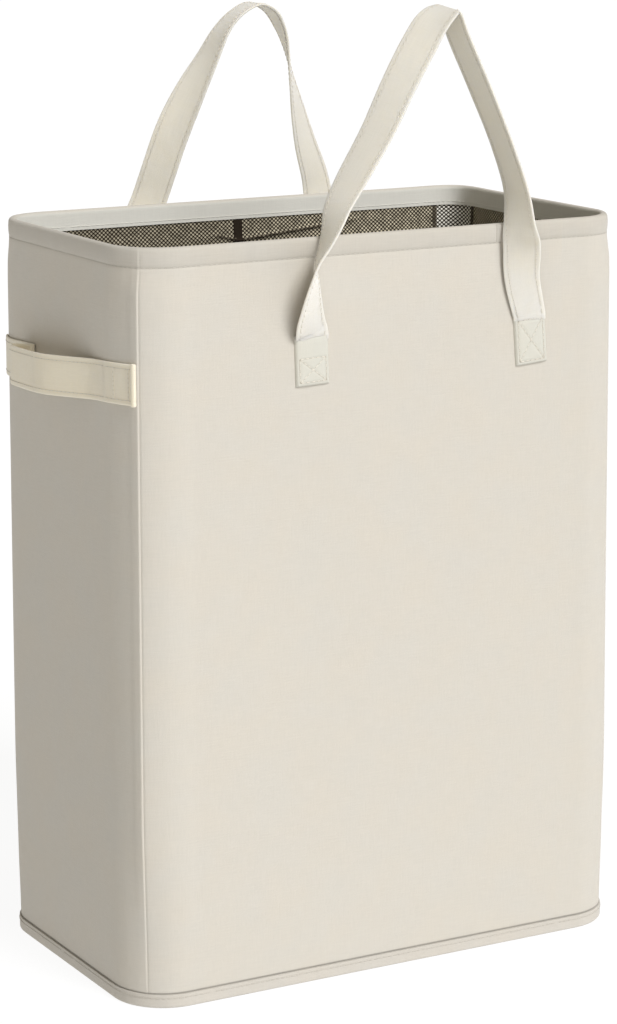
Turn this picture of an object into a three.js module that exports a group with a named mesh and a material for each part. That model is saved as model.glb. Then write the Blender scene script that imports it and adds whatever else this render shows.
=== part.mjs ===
import * as THREE from "three";

// A folding laundry hamper: cloth walls over boards, a mesh liner, two carrying loops and two side grips.
// Millimetres, +Z is up, the front faces -Y, and the origin lies under the middle of the base.

// Overall sizes
const width = 450;
const depth = 260;
const height = 600;
const cornerRadius = 44;

// Layers of a wall, from the outside in
const clothThickness = 1;
const boardThickness = 2.4;
const linerThickness = 1;
const fitGap = 0.3;

// Rim and bottom edge
const facingHeight = 17;
const rimWireDiameter = 2.4;
const bindingHeight = 11;
const bindingThickness = 1;

// Fold: each end wall has a crease down its middle, where its boards stop short, and the base has one too
const creaseHalfGap = 1.5;
const foldLimit = 88;
const baseInset = 7;
const baseMiddleHalfGap = 0.5;
const baseClearance = 3;
const baseCornerClearance = 1;
const gussetClearance = 2;

// Carrying loops, front and back: their patches lie in from the ends and down from the rim
const strapWidth = 30;
const strapThickness = 2;
const patchHeight = 40;
const patchThickness = 3;
const patchDrop = 76;
const frontPatchLeftInset = 153;
const frontPatchRightInset = 96;
const backPatchInset = 130;
const frontLoopHeight = 172;
const backLoopHeight = 165.5;

// Side grips: how far their middles lie below the rim, how much is sewn to the flat wall, and how far their ends
// reach round the corners. The right grip is the left one turned round, and its front end stops short.
const gripWidth = 32;
const gripBulge = 26;
const gripFrontDrop = 104;
const gripBackDrop = 115;
const gripFrontFlat = 2;
const gripBackFlat = 38;
const gripSeamAngle = 45;
const gripShortAngle = 6;

// Tape over the liner's middle seam
const tapeWidth = 8;
const tapeThickness = 1;

// Facets
const cornerSteps = 8;
const loopStepsPerStation = 2;
const gripStepsPerStation = 2;
const wireSides = 12;

// Sizes that follow from the ones above
const wallThickness = clothThickness + boardThickness + linerThickness + 2 * fitGap;
const wallBottom = bindingThickness + fitGap;
const boardTop = height - clothThickness - rimWireDiameter - 2 * fitGap;
const linerTop = height - facingHeight - fitGap;
const foldInset = cornerRadius / 2;
const halfWidth = width / 2;
const halfDepth = depth / 2;
const flatHalfWidth = halfWidth - cornerRadius;
const flatHalfDepth = halfDepth - cornerRadius;
const patchTop = height - patchDrop;
const frontPatchLeft = frontPatchLeftInset - halfWidth;
const frontPatchRight = halfWidth - frontPatchRightInset;
const backPatchHalfSpan = halfWidth - backPatchInset;
const gripFreeFront = gripFrontFlat - flatHalfDepth;
const gripFreeBack = flatHalfDepth - gripBackFlat;
const baseClothTop = clothThickness;
const baseBoardTop = baseClothTop + fitGap + boardThickness;
const baseTop = baseBoardTop + fitGap + linerThickness;

// Stations of the loops: [share of the patch span, stand-off as a share of the strap width, climb, roll in
// degrees]. The climb runs from 0 at the patch to 1 at the rim, and on to 2 at the top of the loop. The front
// loop's left leg is turned over near its patch.
const frontLoopShares = [
  [0, 0, 0, 0],
  [-0.014, 0.12, 0.13, 14],
  [-0.022, 0.28, 0.319, 31],
  [-0.022, 0.41, 0.542, 48],
  [-0.014, 0.47, 0.736, 65],
  [0.018, 0.5, 0.922, 77],
  [0.055, 0.48, 1.059, 90],
  [0.098, 0.3, 1.146, 103],
  [0.167, 0.12, 1.251, 112],
  [0.291, -0.01, 1.453, 119],
  [0.402, -0.1, 1.672, 128],
  [0.492, -0.15, 1.838, 132],
  [0.554, -0.18, 1.939, 124],
  [0.604, -0.2, 1.986, 110],
  [0.641, -0.22, 2, 95],
  [0.675, -0.21, 1.889, 83],
  [0.77, -0.12, 1.64, 83],
  [0.858, 0.06, 1.377, 85],
  [0.9, 0.33, 1.164, 83],
  [0.906, 0.47, 1, 66],
  [0.928, 0.35, 0.78, 38],
  [0.95, 0.15, 0.42, 12],
  [1, 0, 0, 0],
];
const backLoopShares = [
  [0, 0, 0, 0],
  [0.013, 0.11, 0.368, 10],
  [0.047, 0.24, 0.763, 22],
  [0.095, 0.24, 1.018, 28],
  [0.139, 0.16, 1.167, 29],
  [0.197, 0.06, 1.358, 32],
  [0.274, -0.04, 1.549, 55],
  [0.361, -0.11, 1.728, 78],
  [0.437, -0.14, 1.878, 90],
  [0.511, -0.18, 1.961, 92],
  [0.595, -0.19, 2, 90],
  [0.674, -0.18, 1.961, 88],
  [0.734, -0.14, 1.854, 80],
  [0.768, -0.11, 1.728, 66],
  [0.792, -0.08, 1.597, 56],
  [0.826, -0.01, 1.448, 41],
  [0.871, 0.06, 1.269, 26],
  [0.926, 0.12, 1.09, 13],
  [0.942, 0.12, 1, 8],
  [0.968, 0.07, 0.605, 3],
  [1, 0, 0, 0],
];

// Stations of a side grip's free span: [share of its stretch along the wall, stand-off as a share of the bulge].
// Its slack hangs back over its sewn end in a fold.
const gripShares = [
  [0, 0],
  [0.061, 0.023],
  [0.144, 0.135],
  [0.295, 0.423],
  [0.485, 0.738],
  [0.636, 0.908],
  [0.803, 0.992],
  [0.97, 0.985],
  [1.083, 0.885],
  [1.144, 0.723],
  [1.159, 0.538],
  [1.129, 0.377],
  [1.068, 0.262],
  [1.015, 0.188],
  [0.989, 0.138],
  [0.979, 0.077],
  [0.986, 0.016],
  [1, 0],
];

const hamper = new THREE.Group();

// Finishes
const finish = (color, roughness, metalness) =>
  new THREE.MeshStandardMaterial({ color, roughness, metalness });
const finishes = {
  canvas: () => finish(0xe2dcd1, 0.9, 0),
  webbing: () => finish(0xded5c4, 0.88, 0),
  mesh: () => finish(0x4a3f30, 0.85, 0),
  board: () => finish(0xd9d6cf, 0.6, 0),
  tape: () => finish(0x372d22, 0.8, 0),
  steel: () => finish(0x9c9c9a, 0.35, 1),
};

const add = (name, kind, geometry) => {
  const mesh = new THREE.Mesh(geometry, finishes[kind]());
  mesh.name = name;
  hamper.add(mesh);
};

// Signed volume of a closed triangle list, used to turn its faces outwards
const signedVolume = (points, triangles) =>
  triangles.reduce((sum, [a, b, c]) => {
    const cross = new THREE.Vector3().crossVectors(points[b], points[c]);
    return sum + points[a].dot(cross) / 6;
  }, 0);

// One closed body: a flat outline of [u, v] points carried through a row of frames, with both ends capped
const loft = (outline, frames) => {
  const points = frames.flatMap(({ origin, across, up }) =>
    outline.map(([u, v]) => origin.clone().addScaledVector(across, u).addScaledVector(up, v)));
  const count = outline.length;
  const triangles = [];
  for (let row = 0; row + 1 < frames.length; row += 1) {
    for (let i = 0; i < count; i += 1) {
      const here = row * count + i;
      const next = row * count + ((i + 1) % count);
      triangles.push([here, next, next + count], [here, next + count, here + count]);
    }
  }
  const flat = outline.map(([u, v]) => new THREE.Vector2(u, v));
  const last = (frames.length - 1) * count;
  THREE.ShapeUtils.triangulateShape(flat, []).forEach(([a, b, c]) => {
    triangles.push([a, c, b], [a + last, b + last, c + last]);
  });
  const outwards = signedVolume(points, triangles) > 0;
  const geometry = new THREE.BufferGeometry();
  geometry.setAttribute("position", new THREE.Float32BufferAttribute(points.flatMap((p) => p.toArray()), 3));
  geometry.setIndex(triangles.flatMap(([a, b, c]) => (outwards ? [a, b, c] : [a, c, b])));
  geometry.computeVertexNormals();
  return geometry;
};

const rectangle = (low, high, bottom, top) => [
  [low, bottom],
  [high, bottom],
  [high, top],
  [low, top],
];

// Frames of the walls: "across" points inwards from the outside face, and "up" is +Z
const upward = new THREE.Vector3(0, 0, 1);
const wallFrame = (x, y, inX, inY) => ({
  origin: new THREE.Vector3(x, y, 0),
  across: new THREE.Vector3(inX, inY, 0).normalize(),
  up: upward,
});

const walls = [];
for (const [name, side] of [["front", -1], ["back", 1]]) {
  const edge = flatHalfWidth - fitGap;
  const frames = [-edge, edge].map((x) => wallFrame(x, side * halfDepth, 0, -side));
  walls.push({ name, frames, boardFrames: frames });
}
for (const [end, side] of [["left", -1], ["right", 1]]) {
  for (const [half, toward] of [["front", -1], ["back", 1]]) {
    const framesFrom = (nearest) => [nearest, flatHalfDepth - fitGap].map((y) =>
      wallFrame(side * halfWidth, toward * y, -side, 0));
    walls.push({
      name: `${end}_${half}`,
      frames: framesFrom(fitGap / 2),
      boardFrames: framesFrom(creaseHalfGap),
    });
  }
}

const corners = [];
for (const [half, sideY] of [["front", -1], ["back", 1]]) {
  for (const [end, sideX] of [["left", -1], ["right", 1]]) {
    corners.push({ name: `${half}_${end}_corner`, sideX, sideY });
  }
}

// A frame on a corner's outside face, at an angle from the end wall towards the long wall
const cornerFrame = ({ sideX, sideY }, angle) => {
  const outX = sideX * Math.cos(angle);
  const outY = sideY * Math.sin(angle);
  const x = sideX * flatHalfWidth + cornerRadius * outX;
  const y = sideY * flatHalfDepth + cornerRadius * outY;
  return wallFrame(x, y, -outX, -outY);
};
const cornerFrames = (corner, from = 0, to = Math.PI / 2, steps = cornerSteps) =>
  Array.from({ length: steps + 1 }, (_, i) => cornerFrame(corner, from + ((to - from) * i) / steps));

// Outlines of the layers, as [distance inwards, height]. The cloth turns over the rim and down inside.
const clothOutline = [
  [0, wallBottom],
  [clothThickness, wallBottom],
  [clothThickness, height - clothThickness],
  [wallThickness - clothThickness, height - clothThickness],
  [wallThickness - clothThickness, height - facingHeight],
  [wallThickness, height - facingHeight],
  [wallThickness, height],
  [0, height],
];
const boardFace = clothThickness + fitGap;
const boardOutline = rectangle(boardFace, boardFace + boardThickness, wallBottom, boardTop);
const linerOutline = rectangle(wallThickness - linerThickness, wallThickness, wallBottom, linerTop);
const bindingOutline = [
  [-bindingThickness - fitGap, 0],
  [wallThickness, 0],
  [wallThickness, bindingThickness],
  [-fitGap, bindingThickness],
  [-fitGap, bindingHeight],
  [-bindingThickness - fitGap, bindingHeight],
];

for (const { name, frames, boardFrames } of walls) {
  add(`${name}_cloth`, "canvas", loft(clothOutline, frames));
  add(`${name}_board`, "board", loft(boardOutline, boardFrames));
  add(`${name}_liner`, "mesh", loft(linerOutline, frames));
  add(`${name}_binding`, "canvas", loft(bindingOutline, frames));
}
for (const corner of corners) {
  add(`${corner.name}_cloth`, "canvas", loft(clothOutline, cornerFrames(corner)));
  add(`${corner.name}_liner`, "mesh", loft(linerOutline, cornerFrames(corner)));
  add(`${corner.name}_binding`, "canvas", loft(bindingOutline, cornerFrames(corner)));
}

// A steel wire lies in the fold of each long rim
for (const [name, side] of [["front", -1], ["back", 1]]) {
  const radius = rimWireDiameter / 2;
  const wire = new THREE.CylinderGeometry(radius, radius, 2 * (flatHalfWidth - fitGap), wireSides);
  wire.rotateZ(Math.PI / 2);
  wire.translate(0, side * (halfDepth - wallThickness / 2), height - clothThickness - fitGap - radius);
  add(`${name}_rim_wire`, "steel", wire);
}

// How far a base half may reach sideways at a distance from its hinge, so that it clears the end wall
// while both fold: the end wall turns about an upright axis in the corner as the base half swings up
const reachAt = (run) => {
  const axisToFace = foldInset - wallThickness;
  const hingeBehindAxis = foldInset - baseInset;
  let reach = Infinity;
  for (let degrees = 0; degrees < foldLimit; degrees += 1) {
    const angle = THREE.MathUtils.degToRad(degrees);
    const sine = Math.sin(angle);
    const inward = run * Math.cos(angle) - hingeBehindAxis + baseTop * sine;
    reach = Math.min(reach, (axisToFace - inward * sine) / Math.cos(angle));
  }
  return halfWidth - foldInset + reach - baseClearance;
};

// Base halves: cloth below, a board, and the liner's floor on top. Each is drawn for the front and mirrored.
const hingeLine = halfDepth - baseInset;
const innerRadius = cornerRadius - wallThickness - baseCornerClearance;
const hingeRise = hingeLine - flatHalfDepth;
const hingeReach = flatHalfWidth + Math.sqrt(innerRadius ** 2 - hingeRise ** 2);
const diagonal = innerRadius * Math.SQRT1_2;
const cornerReach = reachAt(hingeLine - flatHalfDepth);
const middleReach = reachAt(hingeLine - baseMiddleHalfGap);
const baseSide = [
  [hingeReach, hingeLine],
  [flatHalfWidth + diagonal, flatHalfDepth + diagonal],
  [cornerReach, flatHalfDepth],
  [middleReach, baseMiddleHalfGap],
];
const slab = (corners2d, bottom, top) => {
  const shape = new THREE.Shape(corners2d.map(([x, y]) => new THREE.Vector2(x, y)));
  const geometry = new THREE.ExtrudeGeometry(shape, { depth: top - bottom, bevelEnabled: false });
  geometry.translate(0, 0, bottom);
  return geometry;
};
for (const [half, side] of [["front", -1], ["back", 1]]) {
  const leftEdge = baseSide.map(([x, y]) => [-x, side * y]);
  const rightEdge = baseSide.map(([x, y]) => [x, side * y]).reverse();
  const outline = [...leftEdge, ...rightEdge];
  add(`base_${half}_cloth`, "canvas", slab(outline, 0, baseClothTop));
  add(`base_${half}_board`, "board", slab(outline, baseClothTop + fitGap, baseBoardTop));
  add(`base_${half}_liner`, "mesh", slab(outline, baseBoardTop + fitGap, baseTop));
}

// Soft three-cornered gussets fill the base between the cut ends of its halves and the end walls
for (const [end, side] of [["left", -1], ["right", 1]]) {
  const wallSide = halfWidth - wallThickness - fitGap;
  const outline = [
    [side * wallSide, -flatHalfDepth],
    [side * (cornerReach + gussetClearance), -flatHalfDepth],
    [side * (middleReach + gussetClearance), 0],
    [side * (cornerReach + gussetClearance), flatHalfDepth],
    [side * wallSide, flatHalfDepth],
  ];
  add(`${end}_gusset`, "canvas", slab(outline, fitGap, fitGap + clothThickness));
}

// Dark tape over the liner's middle seam on the back wall
const tape = new THREE.BoxGeometry(tapeWidth, tapeThickness, linerTop - wallBottom);
tape.translate(0, halfDepth - wallThickness - fitGap - tapeThickness / 2, (linerTop + wallBottom) / 2);
add("liner_seam_tape", "tape", tape);

// A strap's outline, with its width across and its thickness up
const strapOutline = (across, thick) => rectangle(-across / 2, across / 2, -thick / 2, thick / 2);

// Frames of a carrying loop that climbs from its left patch to the top and down to its right patch
const loopFrames = (shares, side, left, right, loopHeight) => {
  const plane = halfDepth + fitGap + patchThickness - strapThickness / 2;
  const climbTo = (climb) => {
    const belowRim = THREE.MathUtils.lerp(patchTop + fitGap, height, Math.min(climb, 1));
    return belowRim + loopHeight * Math.max(climb - 1, 0);
  };
  const stations = shares.map(([along, out, climb]) => new THREE.Vector3(
    THREE.MathUtils.lerp(left, right, along),
    side * (plane + out * strapWidth),
    climbTo(climb),
  ));
  const path = new THREE.CatmullRomCurve3(stations, false, "centripetal");
  const steps = (shares.length - 1) * loopStepsPerStation;
  return Array.from({ length: steps + 1 }, (_, i) => {
    const place = i / loopStepsPerStation;
    const low = Math.min(Math.floor(place), shares.length - 2);
    const roll = THREE.MathUtils.lerp(shares[low][3], shares[low + 1][3], place - low);
    const angle = THREE.MathUtils.degToRad(roll);
    const along = i === 0 || i === steps
      ? new THREE.Vector3(0, 0, i === 0 ? 1 : -1)
      : path.getTangent(i / steps);
    const toMiddle = new THREE.Vector3(along.z, 0, -along.x).normalize();
    const inward = new THREE.Vector3().crossVectors(along, toMiddle).multiplyScalar(-side);
    const across = toMiddle.multiplyScalar(Math.cos(angle)).addScaledVector(inward, Math.sin(angle));
    const up = new THREE.Vector3().crossVectors(along, across);
    return { origin: path.getPoint(i / steps), across: across.normalize(), up: up.normalize() };
  });
};

// Patches: the strap ends, turned under and sewn flat on the wall
const loops = [
  ["front", -1, frontPatchLeft, frontPatchRight, frontLoopHeight, frontLoopShares],
  ["back", 1, -backPatchHalfSpan, backPatchHalfSpan, backLoopHeight, backLoopShares],
];
for (const [name, side, left, right, loopHeight, shares] of loops) {
  const frames = loopFrames(shares, side, left, right, loopHeight);
  add(`${name}_handle_strap`, "webbing", loft(strapOutline(strapWidth, strapThickness), frames));
  for (const [end, x] of [["left", left], ["right", right]]) {
    const patch = new THREE.BoxGeometry(strapWidth, patchThickness, patchHeight);
    patch.translate(x, side * (halfDepth + fitGap + patchThickness / 2), patchTop - patchHeight / 2);
    add(`${name}_handle_${end}_patch`, "webbing", patch);
  }
}

// Side grips: a free span stands off the end wall, and two sewn ends reach round the corners
const gripOffset = fitGap + strapThickness / 2;
const gripHeightAt = (y) => {
  const share = (y + halfDepth) / depth;
  return height - THREE.MathUtils.lerp(gripFrontDrop, gripBackDrop, share);
};
const gripFrame = (x, y, outX, outY) => ({
  origin: new THREE.Vector3(x + gripOffset * outX, y + gripOffset * outY, gripHeightAt(y)),
  across: upward,
  up: new THREE.Vector3(outX, outY, 0),
});
const gripOutline = strapOutline(gripWidth, strapThickness);
const grips = [
  ["left", -1, gripFreeFront, gripFreeBack, gripSeamAngle],
  ["right", 1, -gripFreeBack, -gripFreeFront, gripShortAngle],
];
for (const [end, side, freeFront, freeBack, frontReach] of grips) {
  const ends = [["front", -1, freeFront, frontReach], ["back", 1, freeBack, gripSeamAngle]];
  for (const [half, toward, free, reach] of ends) {
    const corner = { sideX: side, sideY: toward };
    const from = THREE.MathUtils.degToRad(reach);
    const bend = cornerFrames(corner, from, 0, cornerSteps / 2).map(({ origin, across }) =>
      gripFrame(origin.x, origin.y, -across.x, -across.y));
    const flat = gripFrame(side * halfWidth, free + toward * fitGap, side, 0);
    add(`${end}_grip_${half}_end`, "webbing", loft(gripOutline, [...bend, flat]));
  }
  const [start, finish] = side < 0 ? [freeFront, freeBack] : [freeBack, freeFront];
  const path = new THREE.CatmullRomCurve3(gripShares.map(([along, out]) => {
    const y = THREE.MathUtils.lerp(start, finish, along);
    return new THREE.Vector3(side * (halfWidth + gripOffset + out * gripBulge), y, gripHeightAt(y));
  }), false, "centripetal");
  const steps = (gripShares.length - 1) * gripStepsPerStation;
  const span = Array.from({ length: steps + 1 }, (_, i) => {
    const ahead = i === 0 || i === steps
      ? new THREE.Vector3(0, finish - start, 0)
      : path.getTangent(i / steps);
    const up = new THREE.Vector3(-ahead.y, ahead.x, 0).normalize();
    return { origin: path.getPoint(i / steps), across: upward, up };
  });
  add(`${end}_grip_span`, "webbing", loft(gripOutline, span));
}

export default hamper;
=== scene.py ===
"""Looks of the folding laundry hamper: canvas, mesh liner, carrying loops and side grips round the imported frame.

Metres, +Z is up, the front faces -Y. The wall pieces are grids over the outline: u runs round the outside face
from the middle of the front, leftwards, and z is the height.
"""
import math

import bpy
import numpy as np
from mathutils import Matrix, Vector


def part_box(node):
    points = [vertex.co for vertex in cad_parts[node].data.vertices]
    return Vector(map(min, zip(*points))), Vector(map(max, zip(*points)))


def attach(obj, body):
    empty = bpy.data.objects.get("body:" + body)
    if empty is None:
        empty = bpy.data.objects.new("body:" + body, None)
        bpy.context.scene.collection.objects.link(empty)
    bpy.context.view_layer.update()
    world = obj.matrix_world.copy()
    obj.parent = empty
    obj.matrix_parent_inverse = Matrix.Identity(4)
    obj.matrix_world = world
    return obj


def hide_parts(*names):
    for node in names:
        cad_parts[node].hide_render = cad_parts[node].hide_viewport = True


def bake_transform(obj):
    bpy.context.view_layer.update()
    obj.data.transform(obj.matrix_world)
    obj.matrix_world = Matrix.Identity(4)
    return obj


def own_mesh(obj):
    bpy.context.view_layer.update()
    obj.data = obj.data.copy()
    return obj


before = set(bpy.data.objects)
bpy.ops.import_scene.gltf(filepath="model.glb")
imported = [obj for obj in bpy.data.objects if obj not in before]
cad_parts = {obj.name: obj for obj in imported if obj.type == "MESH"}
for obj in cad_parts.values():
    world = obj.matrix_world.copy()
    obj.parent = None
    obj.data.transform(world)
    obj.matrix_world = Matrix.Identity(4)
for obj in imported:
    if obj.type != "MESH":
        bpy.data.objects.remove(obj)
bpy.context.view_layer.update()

# Overall sizes, as in the frame
WIDTH, DEPTH, HEIGHT, CORNER = 0.450, 0.260, 0.600, 0.044
FLAT_X, FLAT_Y = WIDTH / 2 - CORNER, DEPTH / 2 - CORNER
ARC = CORNER * math.pi / 2
ROUND = 4 * (FLAT_X + FLAT_Y + ARC)

# Places along the outline
LEFT_FRONT = FLAT_X + ARC
LEFT_CREASE = LEFT_FRONT + FLAT_Y
BACK_LEFT = LEFT_CREASE + FLAT_Y
BACK_FLAT_LEFT = BACK_LEFT + ARC
BACK_MIDDLE = ROUND / 2
BACK_FLAT_RIGHT = BACK_MIDDLE + FLAT_X
RIGHT_BACK = BACK_FLAT_RIGHT + ARC
RIGHT_CREASE = RIGHT_BACK + FLAT_Y
RIGHT_FRONT = RIGHT_CREASE + FLAT_Y
SEAMS = [FLAT_X + ARC / 2, BACK_LEFT + ARC / 2, BACK_FLAT_RIGHT + ARC / 2, RIGHT_FRONT + ARC / 2]

# Liner: its foot, the distance of its seams from a corner seam, and the lowest height and slopes of its long fold
LINER_FOOT, LINED = 0.0055, 0.018
FOLD_LOW, FOLD_RIGHT, FOLD_LEFT = 0.5645, 0.0935, 0.24

# Canvas: its thickness, how far in its facing lies, and its heights: foot, hem seam, turn and facing's edge
CLOTH, FACING_IN = 0.001, 0.0047
WALL_FOOT, HEM_LINE, RIM_TURN, FACING_EDGE = 0.0013, 0.5845, 0.5975, 0.583
HEM_JOIN = ROUND - 0.098

# Binding: how far it stands out, the height of its edge and that of its stitches
BINDING_OUT, BINDING_TOP, BINDING_ROW = 0.0008, 0.011, 0.0082


def smooth(x, low, high):
    t = np.clip((x - low) / (high - low), 0, 1)
    return t * t * (3 - 2 * t)


def bell(x, middle, spread):
    return np.exp(-(((x - middle) / spread) ** 2))


def outline(u):
    """Points on the outside face and the outward directions there, for an array of places u."""
    u = np.mod(np.asarray(u, float), ROUND)
    place, out = np.zeros((len(u), 2)), np.zeros((len(u), 2))
    angle, start, point = -math.pi / 2, 0.0, np.array([0.0, -DEPTH / 2])
    runs = [(FLAT_X, False)] + [(ARC, True), (2 * FLAT_Y, False), (ARC, True), (2 * FLAT_X, False)] * 2
    for length, curved in runs:
        here = (u >= start) & (u <= start + length)
        run = u[here] - start
        outward = np.array([math.cos(angle), math.sin(angle)])
        ahead = np.array([outward[1], -outward[0]])
        if curved:
            centre = point - CORNER * outward
            turned = angle - run / CORNER
            out[here] = np.stack([np.cos(turned), np.sin(turned)], 1)
            place[here] = centre + CORNER * out[here]
            angle -= length / CORNER
            point = centre + CORNER * np.array([math.cos(angle), math.sin(angle)])
        else:
            out[here] = outward
            place[here] = point + np.outer(run, ahead)
            point = point + length * ahead
        start += length
    return place, out


def at_wall(u, inward, z):
    """Points at a distance inwards from the outside face: u is (rows,), inward and z are (rows, columns)."""
    place, out = outline(u)
    flat = place[:, None, :] - out[:, None, :] * inward[:, :, None]
    return np.concatenate([flat, z[:, :, None]], 2)


def stations(start, end, step, extra=()):
    """Places from start to end, close together beside each end so that split pieces shade as one."""
    even = np.linspace(start, end, max(2, math.ceil((end - start) / step) + 1))
    near = [place for n in (0.0003, 0.001, 0.0025) for place in (start + n, end - n)]
    places = np.unique(np.round([p for p in (*even, *near, *extra) if start <= p <= end], 7))
    return places[np.concatenate([[True], np.diff(places) > 1e-4])]


RIPPLES = np.random.default_rng(7)
WAVES = [(RIPPLES.integers(2, 15), RIPPLES.uniform(-9, 9), RIPPLES.uniform(0, 6.28)) for _ in range(12)]
FINE_WAVES = [(RIPPLES.integers(40, 110), RIPPLES.uniform(-40, 40), RIPPLES.uniform(0, 6.28)) for _ in range(10)]


def ripple(u, z, waves):
    """Gentle waves that close on themselves round the outline, from 0 to 1."""
    total = sum(np.sin(2 * math.pi * turns * u / ROUND + lean * z + phase) for turns, lean, phase in waves)
    return 0.5 + total / (2 * len(waves))


def from_seam(u, seam):
    """Signed distance from a corner seam along the outline."""
    return np.mod(u - seam + ROUND / 2, ROUND) - ROUND / 2


# The ridge along each corner seam: the way its long slope runs, its height, and how far its slopes reach
RIDGES = list(zip(SEAMS, (-1, 1, -1, 1), (0.0062, 0.0045, 0.0045, 0.0028)))
LONG_SLOPE, SHORT_SLOPE = 0.044, 0.029


def wall_relief(u, z):
    """How far the canvas stands out from its plain outline."""
    u, z = np.broadcast_arrays(u, z)
    body = smooth(z, 0.012, 0.07) * (1 - 0.8 * smooth(z, 0.55, 0.583))
    out = 0.0016 * ripple(u, z, WAVES) * body
    for seam, long_side, height in RIDGES:
        off = from_seam(u, seam)
        away = np.abs(off)
        ridge = height * np.where(off * long_side > 0, np.clip(1 - away / LONG_SLOPE, 0, 1) ** 1.5,
                                  np.clip(1 - away / SHORT_SLOPE, 0, 1) ** 2)
        lap = 0.0006 * smooth(off, -0.0004, 0.0006) * smooth(off, 0.009, 0.005)
        groove = 0.0005 * bell(off, -0.0006, 0.0006)
        fade = (1 - 0.6 * smooth(z, 0.562, 0.59)) * smooth(z, 0.0, 0.02)
        out = out + ((ridge + lap) * (0.2 + 0.8 * smooth(z, 0.03, 0.16)) - groove) * fade
    hem = np.clip((z - HEM_LINE) / (HEIGHT - HEM_LINE), 0, 1)
    fullness = 0.0007 * np.sin(math.pi * hem) - 0.0004 * bell(z, HEM_LINE, 0.0009)
    puckers = 0.0007 * (ripple(u, z, FINE_WAVES) - 0.5) * bell(z, HEM_LINE + 0.002, 0.011)
    join = from_seam(u, HEM_JOIN)
    hem_lap = 0.0006 * (smooth(join, -0.0002, 0.0006) * smooth(join, 0.012, 0.004) - bell(join, -0.0004, 0.0005))
    hem_lap = hem_lap * smooth(z, HEM_LINE - 0.0005, HEM_LINE + 0.001)
    return out + fullness + puckers + hem_lap - 0.0007 * bell(z, BINDING_TOP + 0.0003, 0.0012)


def pull(u, z):
    """How far every layer stands out from the plain outline: the back right corner is pulled out at the rim."""
    u, z = np.broadcast_arrays(u, z)
    return 0.0075 * bell(from_seam(u, SEAMS[2]), 0, 0.021) * smooth(z, 0.36, 0.59)


def add_object(name, data):
    made = bpy.data.objects.new(name, data)
    bpy.context.scene.collection.objects.link(made)
    return made


def mesh_object(name, points, faces, uv, material, soft_angle=50):
    """A mesh object from arrays of points and quads, with its faces turned outwards."""
    a, b, c, d = (points[faces[:, i]] for i in range(4))
    volume = np.einsum("ij,ij->i", a, np.cross(b, c)).sum() + np.einsum("ij,ij->i", a, np.cross(c, d)).sum()
    if volume < 0:
        faces = faces[:, ::-1]
    mesh = bpy.data.meshes.new(name)
    mesh.from_pydata(points, [], faces, shade_flat=False)
    layer = mesh.uv_layers.new(name="metres")
    layer.data.foreach_set("uv", uv[faces.ravel()].astype(np.float32).ravel())
    mesh.set_sharp_from_angle(angle=math.radians(soft_angle))
    mesh.materials.append(material)
    mesh.validate()
    return add_object(name, mesh)


def grid(*values):
    return np.stack(np.broadcast_arrays(*values), -1)


def grid_quads(rows, columns, offset=0):
    index = np.arange(rows * columns).reshape(rows, columns) + offset
    return np.stack([index[:-1, :-1], index[1:, :-1], index[1:, 1:], index[:-1, 1:]], -1).reshape(-1, 4)


def sheet_between(name, outer, inner, u, v, material):
    """A closed thin piece between two grids of points, with u along its rows and v along its columns."""
    rows, columns = outer.shape[:2]
    count = rows * columns
    index = np.arange(count).reshape(rows, columns)
    ring = np.concatenate([index[0, :-1], index[:-1, -1], index[-1, :0:-1], index[:0:-1, 0]])
    ahead = np.roll(ring, -1)
    rim = np.stack([ring, ahead, ahead + count, ring + count], 1)
    faces = np.concatenate([grid_quads(rows, columns), grid_quads(rows, columns, count)[:, ::-1], rim])
    points = np.concatenate([outer.reshape(-1, 3), inner.reshape(-1, 3)])
    flat = grid(u[:, None], v[None, :]).reshape(-1, 2)
    return mesh_object(name, points, faces, np.concatenate([flat, flat]), material)


def wall_sheet(name, u, inward, z, across, up, thickness, relief, material):
    """A sheet over the walls. Its middle line is (inward, z) for each column, with a section direction
    (across, up) that points to its outer face, and relief moves it outwards."""
    half = thickness / 2
    lay = [np.tile(x, (len(u), 1)) for x in (inward, z, across, up)]
    faces = [at_wall(u, lay[0] - side * half * lay[2] - relief, lay[1] + side * half * lay[3]) for side in (1, -1)]
    v = np.concatenate([[0], np.cumsum(np.hypot(np.diff(inward), np.diff(z)))])
    return sheet_between(name, faces[0], faces[1], u, v, material)


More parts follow.
